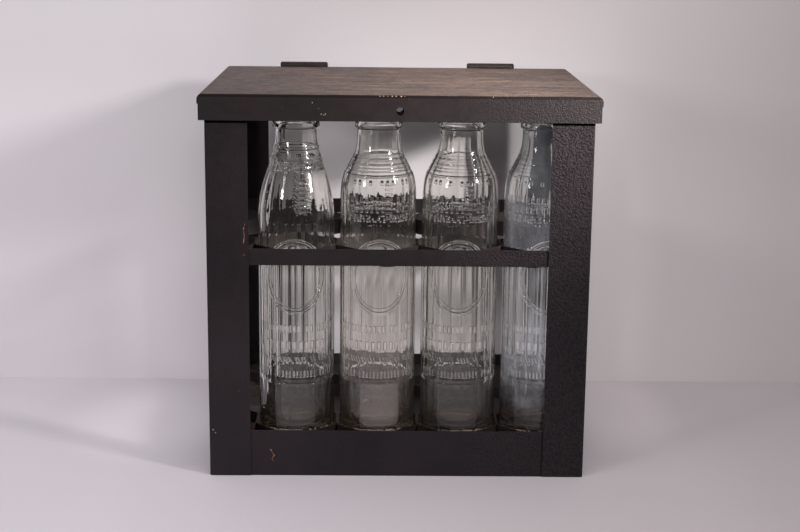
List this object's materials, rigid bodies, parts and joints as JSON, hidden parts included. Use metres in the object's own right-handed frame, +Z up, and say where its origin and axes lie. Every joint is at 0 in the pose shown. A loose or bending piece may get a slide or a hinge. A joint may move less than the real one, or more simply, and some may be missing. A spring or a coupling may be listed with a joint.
{
  "type": "milk bottle crate",
  "caption": "Open steel bottle crate with angle posts, rails, zig-zag strips forming staggered round cells, a hinged flanged lid and a row of tall glass bottles.",
  "frame": {"origin": "on the ground under the middle of the overall box", "axes": "+X to the right seen from the front, +Y from the front to the hinged rear, +Z up"},
  "size_m": [0.4212, 0.3194, 0.4214],
  "materials": {
    "frame_paint": "textured charcoal paint",
    "strip_paint": "thin charcoal paint",
    "lid_paint": "worn textured paint",
    "hinge_paint": "painted, worn",
    "bottle_glass": "clear pressed glass"
  },
  "bodies": {
    "frame": {"post_front_left": "frame_paint", "post_front_right": "frame_paint", "post_rear_left": "frame_paint", "post_rear_right": "frame_paint", "bottom_rail_front": "frame_paint", "bottom_rail_rear": "frame_paint", "bottom_rail_left": "frame_paint", "bottom_rail_right": "frame_paint", "mid_rail_front": "frame_paint", "mid_rail_rear": "frame_paint", "mid_rail_left": "frame_paint", "mid_rail_right": "frame_paint", "top_rail_front": "frame_paint", "top_rail_rear": "frame_paint", "top_rail_left": "frame_paint", "top_rail_right": "frame_paint", "floor_pan": "frame_paint", "mid_strip_1": "strip_paint", "mid_strip_2": "strip_paint", "mid_strip_3": "strip_paint", "mid_strip_4": "strip_paint", "mid_strip_5": "strip_paint", "mid_strip_6": "strip_paint", "mid_strip_7": "strip_paint", "mid_strip_8": "strip_paint", "mid_strip_9": "strip_paint", "base_strip_1": "strip_paint", "base_strip_2": "strip_paint", "base_strip_3": "strip_paint", "base_strip_4": "strip_paint", "base_strip_5": "strip_paint", "base_strip_6": "strip_paint", "base_strip_7": "strip_paint", "base_strip_8": "strip_paint", "base_strip_9": "strip_paint", "hinge_frame_leaf_left": "hinge_paint", "hinge_frame_leaf_right": "hinge_paint", "hinge_pin_left": "hinge_paint", "hinge_pin_right": "hinge_paint"},
    "lid": {"lid_pan": "lid_paint", "hinge_lid_leaf_left": "hinge_paint", "hinge_lid_leaf_right": "hinge_paint"},
    "bottle_1": {"bottle_1": "bottle_glass"},
    "bottle_2": {"bottle_2": "bottle_glass"},
    "bottle_3": {"bottle_3": "bottle_glass"},
    "bottle_4": {"bottle_4": "bottle_glass"}
  },
  "joints": [
    {"name": "lid_hinge", "type": "hinge", "parent": "frame", "child": "lid", "pos_m": [0, 0.15568, 0.4174], "axis": [1, 0, 0], "range_deg": [-268, 0]},
    {"name": "bottle_1_lift", "type": "slide", "parent": "frame", "child": "bottle_1", "axis": [0, 0, 1], "range_m": [0, 0.025]},
    {"name": "bottle_2_lift", "type": "slide", "parent": "frame", "child": "bottle_2", "axis": [0, 0, 1], "range_m": [0, 0.025]},
    {"name": "bottle_3_lift", "type": "slide", "parent": "frame", "child": "bottle_3", "axis": [0, 0, 1], "range_m": [0, 0.025]},
    {"name": "bottle_4_lift", "type": "slide", "parent": "frame", "child": "bottle_4", "axis": [0, 0, 1], "range_m": [0, 0.025]}
  ]
}
